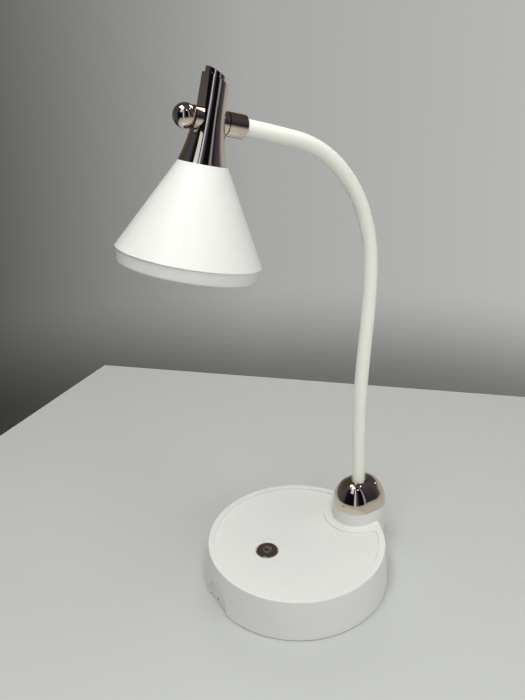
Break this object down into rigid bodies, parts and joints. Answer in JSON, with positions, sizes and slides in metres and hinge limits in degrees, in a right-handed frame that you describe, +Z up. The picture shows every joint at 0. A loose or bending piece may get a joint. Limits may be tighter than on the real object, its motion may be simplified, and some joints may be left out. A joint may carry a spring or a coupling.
{
  "type": "desk lamp",
  "caption": "Rechargeable desk lamp: round weighted base with a push button, gooseneck rising from a post at the rear, tilting cone shade on a plated stem with a ball knob.",
  "frame": {"origin": "middle of the foot pad's underside, on the table", "axes": "+Z up, +Y toward the post at the rear of the base, -Y toward the button and the shade, X = 0 the plane of the neck in the stored pose"},
  "size_m": [0.145, 0.2001, 0.3758],
  "materials": {
    "white_shell": "satin white moulded ABS",
    "white_inner": "unpainted white moulded ABS",
    "soft_white_sleeve": "matt creamy white soft PVC",
    "chrome_plate": "bright plating with a slightly warm tint",
    "foot_rubber": "matt black foam rubber",
    "ballast_steel": "black oxide steel",
    "core_steel": "wound steel",
    "screw_steel": "zinc plated steel",
    "nipple_brass": "turned brass",
    "washer_fibre": "black nylon",
    "plunger_plastic": "natural nylon",
    "board_green": "green solder mask",
    "board_white": "white solder mask",
    "cell_wrap": "blue shrink wrap over a steel can",
    "lead_jacket": "white PVC jacket",
    "diffuser_opal": "opal polycarbonate",
    "chip_phosphor": "yellow phosphor",
    "indicator_red": "clear red epoxy"
  },
  "bodies": {
    "base": {"base_shell": "white_shell", "base_plate": "white_inner", "rubber_pad": "foot_rubber", "cover_screws": "screw_steel", "ballast_plate": "ballast_steel", "ballast_screws": "screw_steel", "battery_holder": "washer_fibre", "battery_cell": "cell_wrap", "battery_contacts": "screw_steel", "holder_screws": "screw_steel", "control_board": "board_green", "board_screws": "screw_steel", "switch_body": "washer_fibre", "port_board": "board_green", "port_screws": "screw_steel", "charge_socket": "screw_steel", "charge_indicator": "indicator_red", "neck_cap": "chrome_plate", "cap_screws": "screw_steel", "neck_nipple": "nipple_brass", "neck_nut": "screw_steel", "neck_washer": "screw_steel", "neck_core_1": "core_steel", "neck_sleeve": "soft_white_sleeve", "lamp_lead": "lead_jacket"},
    "neck_2": {"neck_core_2": "core_steel"},
    "neck_3": {"neck_core_3": "core_steel"},
    "neck_4": {"neck_core_4": "core_steel"},
    "neck_5": {"neck_core_5": "core_steel"},
    "neck_6": {"neck_core_6": "core_steel"},
    "neck_7": {"neck_core_7": "core_steel"},
    "neck_8": {"neck_core_8": "core_steel"},
    "neck_tip": {"neck_core_9": "core_steel", "ferrule": "chrome_plate", "pivot_bolt": "screw_steel", "friction_washers": "washer_fibre"},
    "head": {"stem": "chrome_plate", "stem_plug": "chrome_plate", "shade_cone": "white_shell", "shade_nut": "screw_steel", "shade_ring": "white_shell", "diffuser": "diffuser_opal", "led_board": "board_white", "led_screws": "screw_steel", "led_chips": "chip_phosphor"},
    "knob": {"ball_knob": "chrome_plate"},
    "button": {"power_button": "chrome_plate", "switch_plunger": "plunger_plastic"}
  },
  "joints": [
    {"name": "neck_bend_1", "type": "hinge", "parent": "base", "child": "neck_2", "pos_m": [0, 0.05928, 0.08599], "axis": [1, 0, 0], "range_deg": [-15, 15], "deforming": ["neck_sleeve", "lamp_lead"]},
    {"name": "neck_sway_2", "type": "hinge", "parent": "neck_2", "child": "neck_3", "pos_m": [0, 0.05842, 0.12518], "axis": [0, 1, 0.0035], "range_deg": [-15, 15], "deforming": ["neck_sleeve", "lamp_lead"]},
    {"name": "neck_bend_3", "type": "hinge", "parent": "neck_3", "child": "neck_4", "pos_m": [0, 0.05962, 0.16435], "axis": [1, 0, 0], "range_deg": [-15, 15], "deforming": ["neck_sleeve", "lamp_lead"]},
    {"name": "neck_bend_4", "type": "hinge", "parent": "neck_4", "child": "neck_5", "pos_m": [0, 0.06246, 0.20345], "axis": [1, 0, 0], "range_deg": [-15, 15], "deforming": ["neck_sleeve", "lamp_lead"]},
    {"name": "neck_sway_5", "type": "hinge", "parent": "neck_5", "child": "neck_6", "pos_m": [0, 0.06328, 0.24262], "axis": [0, 0.9993, 0.0384], "range_deg": [-15, 15], "deforming": ["neck_sleeve", "lamp_lead"]},
    {"name": "neck_bend_6", "type": "hinge", "parent": "neck_6", "child": "neck_7", "pos_m": [0, 0.05533, 0.28082], "axis": [1, 0, 0], "range_deg": [-15, 15], "deforming": ["neck_sleeve", "lamp_lead"]},
    {"name": "neck_bend_7", "type": "hinge", "parent": "neck_7", "child": "neck_8", "pos_m": [0, 0.03405, 0.31341], "axis": [1, 0, 0], "range_deg": [-15, 15], "deforming": ["neck_sleeve", "lamp_lead"]},
    {"name": "neck_bend_8", "type": "hinge", "parent": "neck_8", "child": "neck_tip", "pos_m": [0, 0.00065, 0.33312], "axis": [1, 0, 0], "range_deg": [-15, 15], "deforming": ["neck_sleeve", "lamp_lead"]},
    {"name": "head_swivel", "type": "hinge", "parent": "neck_tip", "child": "head", "pos_m": [0, -0.05594, 0.34755], "axis": [0, -0.9724, 0.2334], "range_deg": [-90, 90], "deforming": ["lamp_lead"]},
    {"name": "knob_turn", "type": "hinge", "parent": "neck_tip", "child": "knob", "pos_m": [0, -0.07057, 0.35106], "axis": [0, -0.9724, 0.2334], "range_deg": [-180, 0]},
    {"name": "button_press", "type": "slide", "parent": "base", "child": "button", "axis": [0, 0, -1], "range_m": [0, 0.0012], "stiffness_N_per_m": 600, "springref_m": -0.0004}
  ]
}
